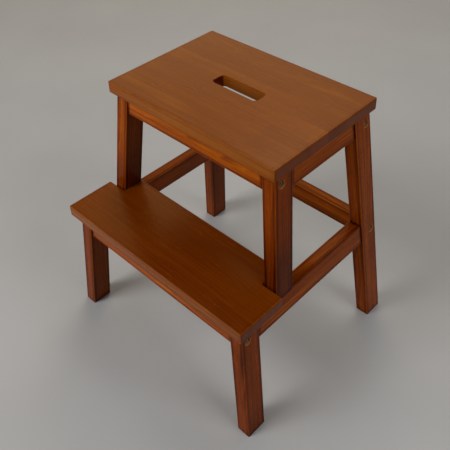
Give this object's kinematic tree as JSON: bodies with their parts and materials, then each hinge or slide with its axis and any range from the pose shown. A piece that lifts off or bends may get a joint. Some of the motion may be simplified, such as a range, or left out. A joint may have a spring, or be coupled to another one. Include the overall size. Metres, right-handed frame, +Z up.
{
  "type": "step stool",
  "caption": "Wooden two-step stool with splayed legs, a flat seat with a hand slot and a lower tread notched round the upper front legs.",
  "frame": {"origin": "on the floor under the middle of the stool's bounding box", "axes": "+Z up, the tread and the person stepping up face -Y, X across the stool with left at -X"},
  "size_m": [0.4666, 0.4, 0.5],
  "materials": {
    "stained_panel": "semi-gloss stained lacquer over edge-glued staves",
    "stained_frame": "semi-gloss stained lacquer, straight grain",
    "bolt_nickel": "darkened nickel-plated steel",
    "barrel_nut_zinc": "zinc-plated steel",
    "dowel_beech": "raw beech",
    "screw_zinc": "zinc-plated steel"
  },
  "bodies": {
    "root": {"seat_panel": "stained_panel", "tread_panel": "stained_panel", "upper_front_leg_left": "stained_frame", "upper_front_leg_right": "stained_frame", "lower_front_leg_left": "stained_frame", "lower_front_leg_right": "stained_frame", "back_leg_left": "stained_frame", "back_leg_right": "stained_frame", "top_side_rail_left": "stained_frame", "top_side_rail_right": "stained_frame", "lower_side_rail_left": "stained_frame", "lower_side_rail_right": "stained_frame", "front_apron": "stained_frame", "rear_apron": "stained_frame", "step_apron": "stained_frame", "rear_stretcher": "stained_frame", "front_apron_bolts": "bolt_nickel", "rear_apron_bolts": "bolt_nickel", "step_apron_bolts": "bolt_nickel", "rear_stretcher_bolts": "bolt_nickel", "front_apron_barrel_nuts": "barrel_nut_zinc", "rear_apron_barrel_nuts": "barrel_nut_zinc", "step_apron_barrel_nuts": "barrel_nut_zinc", "rear_stretcher_barrel_nuts": "barrel_nut_zinc", "side_frame_dowels_left": "dowel_beech", "side_frame_dowels_right": "dowel_beech", "apron_dowels": "dowel_beech", "seat_screws": "screw_zinc", "tread_screws": "screw_zinc"}
  },
  "joints": []
}
